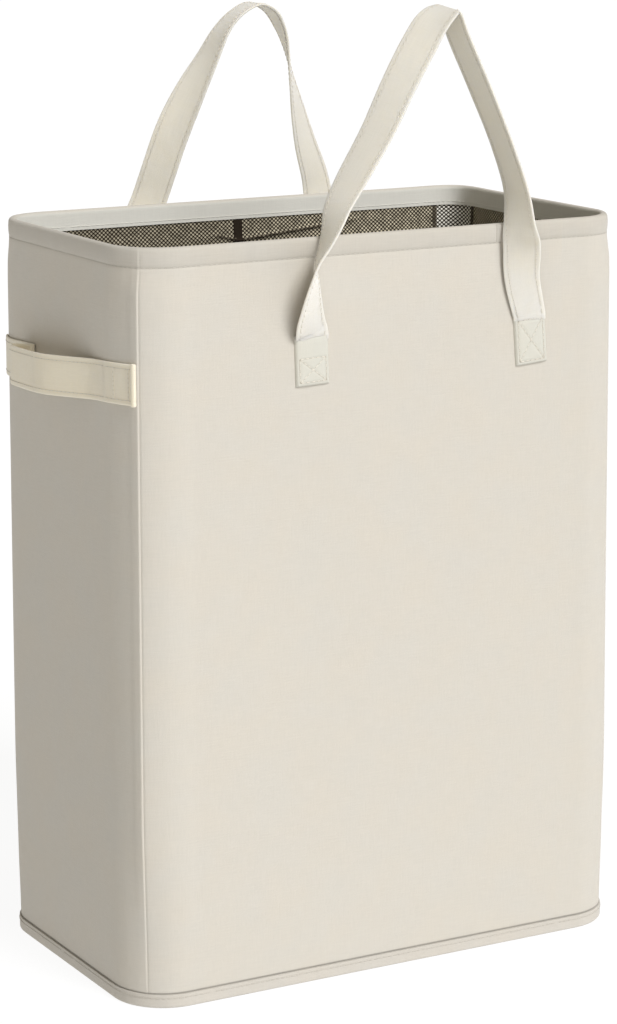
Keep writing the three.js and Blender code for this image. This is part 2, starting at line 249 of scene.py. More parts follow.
# Materials
class Shader:
    """A material's node tree, with short calls for the nodes that the finishes share."""

    def __init__(self, name):
        self.material = bpy.data.materials.new(name)
        self.material.use_nodes = True
        self.tree = self.material.node_tree
        self.surface = self.tree.nodes["Principled BSDF"]

    def node(self, kind, *inputs, **settings):
        made = self.tree.nodes.new(kind)
        for key, value in settings.items():
            setattr(made, key, value)
        return self.fill(made, *enumerate(inputs))

    def fill(self, node, *pairs):
        """Sets a node's inputs, each by its name or number, to a value or another node's output."""
        for key, value in pairs:
            if isinstance(value, bpy.types.NodeSocket):
                self.tree.links.new(value, node.inputs[key])
            elif value is not None:
                node.inputs[key].default_value = value
        return node

    def math(self, operation, a, b=None):
        return self.node("ShaderNodeMath", a, b, operation=operation).outputs[0]

    def vector(self, operation, a, b=None, output=0):
        return self.node("ShaderNodeVectorMath", a, b, operation=operation).outputs[output]

    def split(self, where):
        return self.node("ShaderNodeSeparateXYZ", where).outputs[:2]

    def distance(self, a, b):
        return self.math("ABSOLUTE", self.math("SUBTRACT", a, b))

    def stretch(self, where, along, across):
        return self.vector("MULTIPLY", where, (along, across, 1.0))

    def noise(self, where, scale, detail=2.0, roughness=0.5):
        made = self.node("ShaderNodeTexNoise", where)
        return self.fill(made, ("Scale", scale), ("Detail", detail), ("Roughness", roughness)).outputs["Fac"]

    def wander(self, where, scale, size):
        """The places, each moved a little, so that threads and rows aren't quite straight."""
        noise = self.fill(self.node("ShaderNodeTexNoise", where), ("Scale", scale))
        drift = self.vector("MULTIPLY", noise.outputs["Color"], (size, size, 0.0))
        return self.vector("ADD", where, drift)

    def ramp(self, value, low, high, start, end):
        return self.node("ShaderNodeMapRange", value, low, high, start, end).outputs[0]

    def band(self, value, rise, fall):
        """1 between a rise and a fall, each given as (low, high), and 0 outside."""
        return self.math("MULTIPLY", self.ramp(value, *rise, 0.0, 1.0), self.ramp(value, *fall, 1.0, 0.0))

    def mix(self, share, first, second):
        made = self.node("ShaderNodeMix", data_type="RGBA")
        return self.fill(made, ("Factor", share), (6, first), (7, second)).outputs[2]

    def bump(self, height, distance):
        made = self.node("ShaderNodeBump")
        return self.fill(made, ("Strength", 1.0), ("Distance", distance), ("Height", height)).outputs[0]

    def finish(self, color, normal, roughness, sheen=0.0):
        self.fill(self.surface, ("Base Color", color), ("Normal", normal), ("Roughness", roughness),
                  ("Sheen Weight", sheen), ("Sheen Roughness", 0.5), ("Specular IOR Level", 0.25))
        return self.material

    def place(self, flat=True):
        return self.node("ShaderNodeTexCoord").outputs["UV" if flat else "Object"]


# Lengths up the canvas from its foot: the painted shade in the gap over the binding, the hem, and where the facing
# starts
GAP_FROM, GAP_TO = (0.0096, 0.0102), (0.0106, 0.0116)
HEM_FROM, HEM_TO, FACING_FROM = (0.5828, 0.5838), (0.5985, 0.6), (0.6012, 0.6028)


def woven(name, color, thread, contrast, mottle, height, sheen=0.25, facing=None, glow=0.0):
    """Plain-woven cloth: wandering threads of a pitch both ways, with slubs and slow mottling. Past the rim it takes
    the facing's paler colour, which is painted light on the inside of the rim, and glow is the share of light that
    passes through."""
    s = Shader(name)
    where = s.place()
    run, rise = s.split(s.wander(where, 70.0, 0.0016))
    turn = 2 * math.pi / thread
    weft = s.math("SINE", s.math("MULTIPLY", rise, turn))
    warp = s.math("SINE", s.math("MULTIPLY", run, turn))
    over = s.math("MULTIPLY", weft, warp)
    slub_h = s.noise(s.stretch(where, 60.0, 800.0), 1.0, 3.0, 0.6)
    slub_v = s.noise(s.stretch(where, 800.0, 60.0), 1.0, 3.0, 0.6)
    slubs = s.math("ADD", slub_h, s.math("MULTIPLY", slub_v, 0.8))
    cloudy = s.noise(where, 22.0, 3.0, 0.55)
    tone = s.math("ADD", s.math("MULTIPLY", s.math("SUBTRACT", slubs, 0.9), contrast),
                  s.math("MULTIPLY", s.math("SUBTRACT", cloudy, 0.5), mottle))
    lit = s.math("ADD", tone, 1.0)
    warmer = (color[0], color[1] * 0.985, color[2] * 0.965, 1.0)
    tint = s.mix(s.ramp(cloudy, 0.35, 0.65, 0.0, 1.0), (*color, 1.0), warmer)
    if facing:
        length = s.split(where)[1]
        # Past the rim: the facing's paler colour, painted light
        tint = s.mix(s.ramp(length, *FACING_FROM, 0.0, 1.0), tint, (*facing, 1.0))
        # Painted shade: the canvas is darkened by half in the gap over the binding and by a tenth along the hem
        # seam's crease; it is also a little darker over the hem band
        crease = s.ramp(s.distance(length, HEM_LINE - WALL_FOOT), 0.0002, 0.0009, 1.0, 0.0)
        for part, share in ((s.band(length, GAP_FROM, GAP_TO), 0.5), (crease, 0.1),
                            (s.band(length, HEM_FROM, HEM_TO), 0.09)):
            lit = s.math("SUBTRACT", lit, s.math("MULTIPLY", part, share))
    scaled = s.fill(s.node("ShaderNodeVectorMath", tint, operation="SCALE"), ("Scale", lit))
    raised = s.math("ADD", s.math("MULTIPLY", over, 0.4), slubs)
    if glow:
        s.fill(s.surface, ("Subsurface Weight", glow), ("Subsurface Scale", 0.006),
               ("Subsurface Radius", (1.0, 0.95, 0.8)))
    return s.finish(scaled.outputs[0], s.bump(raised, height), 0.9, sheen)


def netted(name, strand, behind, corner, pitch, row):
    """A dark net with round holes in staggered rows, over a tan cloth: painted paler in the corners as painted light,
    and painted darker towards the left as shade. A dark seam runs down each side of a corner, and a painted shadow
    darkens the holes along the long fold on the back."""
    s = Shader(name)
    where = s.place()
    loose = s.wander(where, 45.0, 0.0022)

    def nearest(shift):
        """How far the nearest hole is, for the rows that are shifted by a share of the pitch."""
        moved = s.vector("ADD", loose, (shift * pitch, shift * row, 0.0))
        cell = s.vector("FRACTION", s.stretch(moved, 1 / pitch, 1 / row))
        return s.vector("LENGTH", s.vector("SUBTRACT", cell, (0.5, 0.5, 0.0)), output="Value")

    hole = s.ramp(s.math("MINIMUM", nearest(0.0), nearest(0.5)), 0.21, 0.32, 1.0, 0.0)
    wear = s.noise(where, 160.0, 2.0)
    place, length = s.split(where)
    tan = s.mix(s.ramp(wear, 0.35, 0.65, 0.0, 1.0), (*behind, 1.0), tuple(0.6 * c for c in behind) + (1.0,))
    # Painted shade: the cloth behind the net darkens from the right of the back towards the left
    tan = s.mix(s.ramp(place, BACK_MIDDLE - 0.15, BACK_MIDDLE + 0.1, 0.35, 0.0), tan, (*strand, 1.0))
    # Painted light: the cloth is paler near each corner seam, where light comes through the net. The holes close over
    # the dark seams
    for seam in SEAMS:
        away = s.distance(place, seam)
        tan = s.mix(s.ramp(away, LINED - 0.003, LINED - 0.001, 1.0, 0.0), tan, (*corner, 1.0))
        hole = s.math("MULTIPLY", hole, s.ramp(s.distance(away, LINED), 0.0014, 0.0024, 0.15, 1.0))
    # Painted shadow along the long fold on the back: the holes darken to the strand's colour there
    run = s.math("SUBTRACT", place, BACK_MIDDLE)
    rise = s.math("ADD", s.math("MULTIPLY", s.math("MAXIMUM", run, 0.0), FOLD_RIGHT),
                  s.math("MULTIPLY", s.math("MINIMUM", run, 0.0), -FOLD_LEFT))
    height = s.math("SUBTRACT", length, FOLD_LOW - LINER_FOOT)
    crease = s.ramp(s.distance(height, rise), 0.0006, 0.0015, 0.8, 0.0)
    crease = s.math("MULTIPLY", crease, s.band(run, (-0.028, -0.016), (0.10, 0.125)))
    hole = s.math("MULTIPLY", hole, s.math("SUBTRACT", 1.0, crease))
    color = s.mix(hole, (*strand, 1.0), tan)
    return s.finish(color, s.bump(s.math("SUBTRACT", 1.0, hole), 0.0006), 0.8)


def sewing_thread(name, color, dark, pale):
    """Thread with painted shade at its two ends, where they dive into the cloth. Stitches inside the rim are paler.
    """
    s = Shader(name)
    along, paleness = s.split(s.place())
    twist = s.noise(s.place(flat=False), 900.0, 2.0)
    strand = s.mix(twist, (*color, 1.0), tuple(0.85 * c for c in color) + (1.0,))
    # Painted shade at the two ends of each stitch
    mixed = s.mix(s.ramp(s.math("ABSOLUTE", along), 0.62, 0.95, 0.0, 1.0), strand, (*dark, 1.0))
    mixed = s.mix(paleness, mixed, (*pale, 1.0))
    return s.finish(mixed, s.bump(twist, 0.0001), 0.75)


def plain(name, color, roughness, metallic=0.0, grain=0.04):
    """Board, wire or floor: one colour with a fine speck."""
    s = Shader(name)
    speck = s.noise(s.place(flat=False), 160.0, 3.0)
    mixed = s.mix(speck, (*color, 1.0), tuple(c * (1 - grain) for c in color) + (1.0,))
    s.fill(s.surface, ("Metallic", metallic))
    return s.finish(mixed, s.bump(speck, 0.0002), roughness)


# The facing's paler colour on the canvas is painted light on the inside of the rim
canvas = woven("canvas", (0.60, 0.566, 0.50), 0.00062, 0.09, 0.05, 0.00014, facing=(0.76, 0.745, 0.675))
# The loops, grips and patches are one webbing given three colours: the grips' paler, yellower colour is painted light
# on the shaded end walls, and the patches' darker one is painted shade for the brightly lit walls
loop_cloth = woven("loop_canvas", (0.75, 0.712, 0.63), 0.00055, 0.09, 0.05, 0.00014, 0.6, glow=0.8)
grip_cloth = woven("grip_canvas", (0.86, 0.78, 0.615), 0.00055, 0.09, 0.05, 0.00014, 0.5, glow=0.35)
patch_cloth = woven("patch_canvas", (0.63, 0.617, 0.545), 0.00055, 0.09, 0.04, 0.00014)
binding_cloth = woven("binding_canvas", (0.585, 0.55, 0.49), 0.00055, 0.09, 0.04, 0.00014)
net = netted("liner_net", (0.022, 0.014, 0.006), (0.76, 0.68, 0.50), (0.95, 0.92, 0.82), 0.0038, 0.0034)
tape_cloth = woven("dark_tape", (0.024, 0.016, 0.009), 0.0006, 0.3, 0.1, 0.0002, 0.0)
# Each thread's second colour is the painted shade at its ends
thread = sewing_thread("thread", (0.59, 0.555, 0.49), (0.44, 0.41, 0.35), (0.74, 0.725, 0.655))
strap_thread = sewing_thread("strap_thread", (0.80, 0.75, 0.655), (0.40, 0.35, 0.27), (0.80, 0.75, 0.655))
board = plain("board", (0.72, 0.71, 0.68), 0.55)
steel = plain("steel", (0.55, 0.55, 0.55), 0.35, 1.0)

for name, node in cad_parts.items():
    if name.endswith(("_board", "_wire")):
        wire = name.endswith("_wire")
        node.data.materials.clear()
        node.data.materials.append(steel if wire else board)

# How the wall pieces are split: start, end, and what they follow. A corner has a line across it.
BEND_Z = HEIGHT / 2
CORNER_LINES = {
    "front_left": ((-FLAT_X, -DEPTH / 2, BEND_Z), (-WIDTH / 2, -FLAT_Y, BEND_Z)),
    "front_right": ((FLAT_X, -DEPTH / 2, BEND_Z), (WIDTH / 2, -FLAT_Y, BEND_Z)),
    "back_left": ((-WIDTH / 2, FLAT_Y, BEND_Z), (-FLAT_X, DEPTH / 2, BEND_Z)),
}

# Half the width of a crease, and how far a corner's piece runs on to a long wall
CREASE, JOIN = 0.012, 0.02


def crease_line(side):
    return (side * WIDTH / 2, -CREASE, BEND_Z), (side * WIDTH / 2, CREASE, BEND_Z)


# No joint joins the bodies at the back right corner: settings to flatten what lies there a little as the hamper
# folds, which follow does not apply
FOLD = "left_front_corner_fold"
FLATTEN = dict(joint=FOLD, axis=(1, 0, 0), anchor=(FLAT_X, 0, 0), keep=0.92)
SEGMENTS = [
    ("front", JOIN - FLAT_X, FLAT_X - JOIN, ("front_wall",), None, ["front"]),
    ("front_left", FLAT_X - JOIN, LEFT_CREASE - CREASE, ("front_wall", "left_front_half"),
     CORNER_LINES["front_left"], ["front_left_corner", "left_front"]),
    ("left_crease", LEFT_CREASE - CREASE, LEFT_CREASE + CREASE, ("left_front_half", "left_back_half"),
     crease_line(-1), []),
    ("back_left", LEFT_CREASE + CREASE, BACK_FLAT_LEFT + JOIN, ("left_back_half", "back_wall"),
     CORNER_LINES["back_left"], ["back_left_corner", "left_back"]),
    ("back", BACK_FLAT_LEFT + JOIN, BACK_FLAT_RIGHT, ("back_wall",), None, ["back"]),
    ("back_right", BACK_FLAT_RIGHT, RIGHT_BACK, ("back_wall",), FLATTEN, ["back_right_corner"]),
    ("right_back", RIGHT_BACK, RIGHT_CREASE - CREASE, ("right_back_half",), None, ["right_back"]),
    ("right_crease", RIGHT_CREASE - CREASE, RIGHT_CREASE + CREASE, ("right_back_half", "right_front_half"),
     crease_line(1)[::-1], []),
    ("front_right", RIGHT_CREASE + CREASE, ROUND - FLAT_X + JOIN, ("right_front_half", "front_wall"),
     CORNER_LINES["front_right"][::-1], ["front_right_corner", "right_front"]),
]


def follow(piece, slot, bodies, line=None, *nodes):
    """Makes a piece ride on its one body, or fixes its place in its mesh when it lies between two, and hides the
    nodes it replaces. With a line, a piece on one body gets its own mesh. The slot is not used.
    """
    if len(bodies) == 2:
        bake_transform(piece)
    else:
        if line:
            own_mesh(piece)
        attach(piece, bodies[0])
    if nodes:
        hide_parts(*nodes)


def canvas_section():
    """The canvas's columns, up the outside, over the rim and down inside: how far in and how high each lies, its
    section direction, and its share of the relief."""
    rise = np.unique(np.concatenate([np.linspace(WALL_FOOT, 0.56, 70), np.linspace(0.56, RIM_TURN, 22),
                                     [HEM_LINE, HEM_LINE - 0.0008, HEM_LINE + 0.0008]]))
    middle, radius = (CLOTH / 2 + FACING_IN) / 2, (FACING_IN - CLOTH / 2) / 2
    columns = [(CLOTH / 2, z, 1, 0, 1) for z in rise]
    for turn in np.linspace(0, math.pi, 9)[1:-1]:
        c, s = math.cos(turn), math.sin(turn)
        columns.append((middle - radius * c, RIM_TURN + radius * s, c, s, (1 + c) / 2))
    columns += [(FACING_IN, z, -1, 0, 0) for z in np.linspace(RIM_TURN, FACING_EDGE, 12)]
    return np.array(columns, float).T


def binding_section():
    """The binding's columns: down the outside and a little way under the foot."""
    foot, bend, under = 0.0005, 0.0013, 0.005
    columns = [(-BINDING_OUT, z, 1, 0) for z in np.linspace(BINDING_TOP, foot + bend, 8)]
    for turn in np.linspace(0, math.pi / 2, 6)[1:-1]:
        c, s = math.cos(turn), math.sin(turn)
        columns.append((bend * (1 - c) - BINDING_OUT, foot + bend * (1 - s), c, -s))
    columns += [(inward, foot, 0, -1) for inward in np.linspace(bend - BINDING_OUT, under, 5)]
    return np.array(columns, float).T


def lining_section(foot, count, inward):
    """Columns of the liner or its tape, from a foot to the facing. They are closer together where the fold lies."""
    z = np.concatenate([np.linspace(foot, 0.50, count), np.linspace(0.506, 0.588, 54)])
    return inward - 0.0006 * smooth(z, 0.555, 0.583), z, -np.ones(len(z)), np.zeros(len(z))


def liner_relief(u, z):
    """The liner hangs a little loose: it stands in from the wall in slow folds below the facing, with one long
    curved fold on the back and a ridge down each seam of a corner."""
    u, z = np.broadcast_arrays(u, z)
    loose = smooth(0.583 - z, 0.004, 0.05) * smooth(z, 0.006, 0.06)
    near_crease = sum(bell(u, c, 0.02) for c in (LEFT_CREASE, RIGHT_CREASE))
    slack = (0.0012 + 0.0055 * ripple(u, 0.6 * z, WAVES) ** 2) * loose * (1 - 0.7 * near_crease)
    run = u - BACK_MIDDLE
    height = FOLD_LOW + FOLD_RIGHT * np.maximum(run, 0) + FOLD_LEFT * np.maximum(-run, 0)
    fold = 0.0022 * bell(z, height, 0.0014) * smooth(run, -0.03, -0.012) * smooth(run, 0.125, 0.10)
    seams = sum(0.0012 * bell(np.abs(from_seam(u, seam)), LINED, 0.0016) for seam in SEAMS)
    return pull(u, z) - slack - fold - seams * smooth(z, 0.006, 0.02) * smooth(z, 0.5825, 0.579)


# Places where the wall grids are finer: at the corner seams, at the liner's seams and at the lap in the hem
DETAIL = [seam + d for seam in SEAMS for d in (
    -0.0036, -0.0024, -0.0016, -0.001, -0.0005, 0, 0.0005, 0.001, 0.0024, 0.005, 0.007, 0.009)]
DETAIL += [seam + s * (LINED + d) for seam in SEAMS for s in (-1, 1) for d in (-0.0015, 0, 0.0015)]
DETAIL += [HEM_JOIN - ROUND + d for d in (-0.0012, -0.0008, -0.0004, 0, 0.0003, 0.0008, 0.004, 0.008)]
THREAD_PITCH, THREAD_LENGTH, THREAD_RADIUS = 0.0045, 0.0036, 0.00034


def threads(name, centres, along, out, pale=0.0, finish=None):
    """A row of stitches: small rounded lengths of thread that lie half in the cloth."""
    ring, rows = 6, 5
    bluntness, raised = 0.93, 0.4
    t = np.linspace(-1, 1, rows)
    girth = np.sqrt(np.clip(1 - (bluntness * np.abs(t)) ** 4, 0.04, 1))
    turn = np.linspace(0, 2 * math.pi, ring, endpoint=False)
    a = np.repeat(t * THREAD_LENGTH / 2, ring)
    b = (girth[:, None] * np.cos(turn)).ravel() * THREAD_RADIUS
    c = ((girth[:, None] * np.sin(turn)).ravel() + raised) * THREAD_RADIUS
    side = np.cross(out, along)
    points = (centres[:, None] + along[:, None] * a[None, :, None] + side[:, None] * b[None, :, None]
              + out[:, None] * c[None, :, None])
    index = np.arange(rows * ring).reshape(rows, ring)
    shell = np.stack([index[:-1], np.roll(index, -1, 1)[:-1], np.roll(index, -1, 1)[1:], index[1:]], -1)
    lids = np.array([[0, 1, 2, 3], [0, 3, 4, 5], [3, 2, 1, 0], [5, 4, 3, 0]])
    lids[:2] = lids[:2, ::-1]
    lids[2:] = lids[2:, ::-1] + (rows - 1) * ring
    one = np.concatenate([shell.reshape(-1, 4), lids])
    faces = (one[None] + (np.arange(len(centres)) * rows * ring)[:, None, None]).reshape(-1, 4)
    pale = np.repeat(np.broadcast_to(pale, len(centres)), rows * ring)
    uv = np.stack([np.tile(np.repeat(t, ring), len(centres)), pale], 1)
    return mesh_object(name, points.reshape(-1, 3), faces, uv, finish or thread, 80)


# The rows of stitches round the walls: height, the way they face, and how far in they lie. The first row follows
# the canvas.
WALL_ROWS = ((HEM_LINE, 1, None), (BINDING_ROW, 1, -0.0013), (HEM_LINE + 0.0015, -1, FACING_IN + CLOTH / 2))


def wall_rows(start, end):
    """Centres, directions, outward directions and paleness of the stitches in a segment's hem and binding."""
    first = math.ceil(start / THREAD_PITCH)
    u = np.arange(first, end / THREAD_PITCH) * THREAD_PITCH
    u = u[(u > start + THREAD_LENGTH / 2) & (u < end - THREAD_LENGTH / 2)]
    out = outline(u)[1]
    ahead = np.stack([out[:, 1], -out[:, 0], np.zeros(len(u))], 1)
    face = np.concatenate([out, np.zeros((len(u), 1))], 1)
    parts = []
    for height, side, inward in WALL_ROWS:
        z = np.full(len(u), height)
        depth = -wall_relief(u, z) if inward is None else np.full(len(u), inward)
        depth = depth - pull(u, z)
        centres = at_wall(u, depth[:, None], z[:, None])[:, 0]
        parts.append((centres, ahead, side * face, np.full(len(u), float(side < 0))))
    return [np.concatenate(p) for p in zip(*parts)]


canvas_lines, binding_lines = canvas_section(), binding_section()
liner_lines = lining_section(LINER_FOOT, 48, 0.0046)
for name, start, end, bodies, line, nodes in SEGMENTS:
    u = stations(start, end, 0.0045, DETAIL)
    inward, z, across, up, share = canvas_lines
    relief = wall_relief(u[:, None], z[None, :]) * share + pull(u[:, None], z[None, :])
    panel = wall_sheet(f"{name}_canvas", u, inward, z, across, up, CLOTH, relief, canvas)
    sewing = threads(f"{name}_stitching", *wall_rows(start, end))
    loose = liner_relief(u[:, None], liner_lines[1][None, :])
    lining = wall_sheet(f"{name}_net", u, *liner_lines, 0.0004, loose, net)
    edge = wall_sheet(f"{name}_edge", u, *binding_lines, 0.001, np.zeros((len(u), len(binding_lines[0]))),
                      binding_cloth)
    for piece, slot, suffix in ((panel, "canvas", "cloth"), (lining, "liner_mesh", "liner"),
                                (edge, "edge_binding", "binding")):
        follow(piece, slot, bodies, line, *[f"{n}_{suffix}" for n in nodes])
    follow(sewing, "canvas", bodies, line)


# Base: cloth below and the liner's floor above. The radius of the liner's inner face at a corner, and how far from
# the middle line the outline of the base starts to turn in.
LINED_CORNER, CUT_CORNER = CORNER - 0.0048, 0.1129
BASE_WIDTH, FLOOR_UV = 0.42, (-1.0, 0.3)


def reach_of(node):
    """How far a base half reaches sideways, as (distances from the middle line, reaches)."""
    corners = np.array([v.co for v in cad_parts[node].data.vertices])
    right = corners[corners[:, 0] > 0]
    order = np.argsort(np.abs(right[:, 1]))
    return np.abs(right[order, 1]), right[order, 0]


def corner_reach(depth):
    """How far the liner's inner face reaches sideways, at a distance from the middle line."""
    return FLAT_X + np.sqrt(np.clip(LINED_CORNER ** 2 - np.clip(depth - FLAT_Y, 0, None) ** 2, 0, None))


def floor_sheet(half, layer, node, material, low, slot):
    """A base half's sheet, 1 mm thick. The liner's floor is cut to meet the liner round it."""
    depths, reaches = reach_of(node)
    side = -1 if half == "front" else 1
    rows = np.linspace(depths.min(), FLAT_Y + LINED_CORNER if layer == "floor" else depths.max(), 36)
    reach = np.interp(rows, depths, reaches)
    if layer == "floor":
        reach = np.where(rows > CUT_CORNER, corner_reach(rows), reach)
    columns = np.linspace(-1, 1, 60)
    grids = [grid(reach[:, None] * columns[None, :], side * rows[:, None], z) for z in (low + 0.001, low)]
    piece = sheet_between(f"base_{half}_{layer}", *grids, side * rows, columns, material)
    flat = np.array([v.co for v in piece.data.vertices])[:, :2]
    loops = np.array([loop.vertex_index for loop in piece.data.loops])
    piece.data.uv_layers[0].data.foreach_set("uv", (flat[loops] + FLOOR_UV).astype(np.float32).ravel())
    follow(piece, slot, [f"base_{half}_half"], None, node)


for half in ("front", "back"):
    floor_sheet(half, "canvas", f"base_{half}_cloth", canvas, 0.0, "canvas")
    floor_sheet(half, "floor", f"base_{half}_liner", net, 0.0040, "liner_mesh")

# Gussets: soft three-cornered pieces between the base's cut ends and the end walls, which they lap
GUSSET_WIDTH, GUSSET_LAP, GUSSET_SAG = 0.080, 0.0026, 0.0008
GUSSET_LAYERS = (("gusset", 0.0003, canvas, "canvas"), ("gusset_net", 0.0022, net, "liner_mesh"))
for end, side in (("left", -1), ("right", 1)):
    low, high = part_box(f"{end}_gusset")
    wall_x = high.x if side > 0 else low.x
    inner_edge = sorted({(round(abs(v.co.y), 5), round(abs(v.co.x), 5))
                         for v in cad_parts[f"{end}_gusset"].data.vertices if abs(v.co.x - wall_x) > 0.001})
    crumple = dict(joint=FOLD, axis=(1, 0, 0), anchor=(wall_x, 0, 0), keep=0.03)
    for half, toward in (("front", -1), ("back", 1)):
        rows = np.linspace(0, CUT_CORNER, 32)
        inner = np.interp(rows, *zip(*inner_edge)) - GUSSET_LAP
        outer = corner_reach(rows)
        t = np.linspace(0, 1, 20)
        x = side * (outer[:, None] + (inner - outer)[:, None] * t[None, :])
        sag = GUSSET_SAG * np.sin(math.pi * t)[None, :] * np.sin(math.pi * rows / CUT_CORNER)[:, None]
        for layer, base, material, slot in GUSSET_LAYERS:
            grids = [grid(x, toward * rows[:, None], base + h + sag) for h in (0.0008, 0.0)]
            piece = sheet_between(f"{end}_{half}_{layer}", *grids, toward * rows, t * 0.07 + 0.1, material)
            nodes = [f"{end}_gusset"] if half == "front" and layer == "gusset" else []
            follow(piece, slot, [f"{end}_{half}_half"], crumple, *nodes)

# Straps. A knot of a loop is its share of the way from left to right, how far out it stands in strap widths, its
# share of the climb (1 at the rim, 2 at the top), and the turn of its width in degrees.
STRAP_WIDTH, STRAP_THICK = 0.030, 0.002
PATCH_TOP, PATCH_HEIGHT = 0.524, 0.040
FRONT_LOOP = [
    (0, 0, 0, 0), (-0.014, 0.12, 0.13, 14), (-0.022, 0.28, 0.319, 31), (-0.022, 0.41, 0.542, 48),
    (-0.014, 0.47, 0.736, 65), (0.018, 0.5, 0.922, 77), (0.055, 0.48, 1.059, 90), (0.098, 0.3, 1.146, 103),
    (0.167, 0.12, 1.251, 112), (0.291, -0.01, 1.453, 119), (0.402, -0.1, 1.672, 128), (0.492, -0.15, 1.838, 132),
    (0.554, -0.18, 1.939, 124), (0.604, -0.2, 1.986, 110), (0.641, -0.22, 2, 95), (0.675, -0.21, 1.889, 83),
    (0.77, -0.12, 1.64, 83), (0.858, 0.06, 1.377, 85), (0.9, 0.33, 1.164, 83), (0.906, 0.47, 1, 66),
    (0.928, 0.35, 0.78, 38), (0.95, 0.15, 0.42, 12), (1, 0, 0, 0)]
BACK_LOOP = [
    (0, 0, 0, 0), (0.013, 0.11, 0.368, 10), (0.047, 0.24, 0.763, 22), (0.095, 0.24, 1.018, 28),
    (0.139, 0.16, 1.167, 29), (0.197, 0.06, 1.358, 32), (0.274, -0.04, 1.549, 55), (0.361, -0.11, 1.728, 78),
    (0.437, -0.14, 1.878, 90), (0.511, -0.18, 1.961, 92), (0.595, -0.19, 2, 90), (0.674, -0.18, 1.961, 88),
    (0.734, -0.14, 1.854, 80), (0.768, -0.11, 1.728, 66), (0.792, -0.08, 1.597, 56), (0.826, -0.01, 1.448, 41),
    (0.871, 0.06, 1.269, 26), (0.926, 0.12, 1.09, 13), (0.942, 0.12, 1, 8), (0.968, 0.07, 0.605, 3),
    (1, 0, 0, 0)]


def curve_through(knots, steps):
    """A centripetal Catmull-Rom curve through the knots, with a number of steps to each span."""
    ends = [2 * knots[0] - knots[1], *knots, 2 * knots[-1] - knots[-2]]
    path = []
    for i in range(1, len(ends) - 2):
        p0, p1, p2, p3 = ends[i - 1:i + 3]
        d0, d1, d2 = (max(np.linalg.norm(q - p), 1e-6) ** 0.5 for p, q in ((p0, p1), (p1, p2), (p2, p3)))
        leave = ((p1 - p0) / d0 - (p2 - p0) / (d0 + d1) + (p2 - p1) / d1) * d1
        reach = ((p2 - p1) / d1 - (p3 - p1) / (d1 + d2) + (p3 - p2) / d2) * d1
        for t in np.arange(steps) / steps:
            path.append(p1 + leave * t + (3 * (p2 - p1) - 2 * leave - reach) * t ** 2
                        + (2 * (p1 - p2) + leave + reach) * t ** 3)
    return np.array([*path, knots[-1]])


def unit(v):
    return v / np.linalg.norm(v, axis=-1, keepdims=True)


def lengths(path):
    """How far along a path each of its points lies."""
    return np.concatenate([[0], np.cumsum(np.linalg.norm(np.diff(path, axis=0), axis=1))])


def at_places(field, run, places):
    """The rows of a field at places along a path."""
    return np.stack([np.interp(places, run, field[:, i]) for i in range(3)], -1)


# Half thickness of a strap at places across it: thin folded edges, and a groove along each row of stitches
EDGE_ROW = 0.76
ACROSS = np.array([0, 0.3, 0.6, 0.72, EDGE_ROW, 0.8, 0.9, 0.95, 0.985, 1])
SWELL = np.array([0.93, 0.95, 0.98, 0.92, 0.85, 0.92, 1.0, 0.95, 0.7, 0.35])
ACROSS, SWELL = np.append(-ACROSS[:0:-1], ACROSS), np.append(SWELL[:0:-1], SWELL)
GROOVE_DEPTH = 0.86


def strap(name, path, across, normal, width, cloth, fold=0.0):
    """A strap along a path, with the directions of its width and of its face at each point. A fold is how far
    its outer face stands out further, and the strap is a little wider there."""
    half = STRAP_THICK / 2 * SWELL
    fold = np.broadcast_to(np.asarray(fold, float).reshape(-1, 1), (len(path), len(ACROSS)))
    run = lengths(path)
    base = path[:, None] + across[:, None] * (ACROSS * (width / 2 + 0.5 * fold))[:, :, None]
    grids = [base + normal[:, None] * (lift + side * half[None, :])[:, :, None]
             for side, lift in ((1, fold), (-1, 0))]
    return sheet_between(name, *grids, run, ACROSS * width / 2, cloth), run


def strap_rows(path, across, normal, width, run, faces=(1, -1), skip=0.004):
    """Places for the stitches along a strap's edges, in its grooves."""
    places = np.arange(skip, run[-1] - skip, THREAD_PITCH)
    centre = at_places(path, run, places)
    side, out = unit(at_places(across, run, places)), unit(at_places(normal, run, places))
    along = unit(at_places(np.gradient(path, axis=0), run, places))
    out = unit(np.cross(side, along)) * np.sign(np.sum(np.cross(side, along) * out, 1, keepdims=True))
    parts = []
    for face in faces:
        for edge in (-EDGE_ROW, EDGE_ROW):
            lift = face * STRAP_THICK / 2 * GROOVE_DEPTH
            parts.append((centre + side * edge * width / 2 + out * lift, along, face * out))
    return [np.concatenate(p) for p in zip(*parts)]


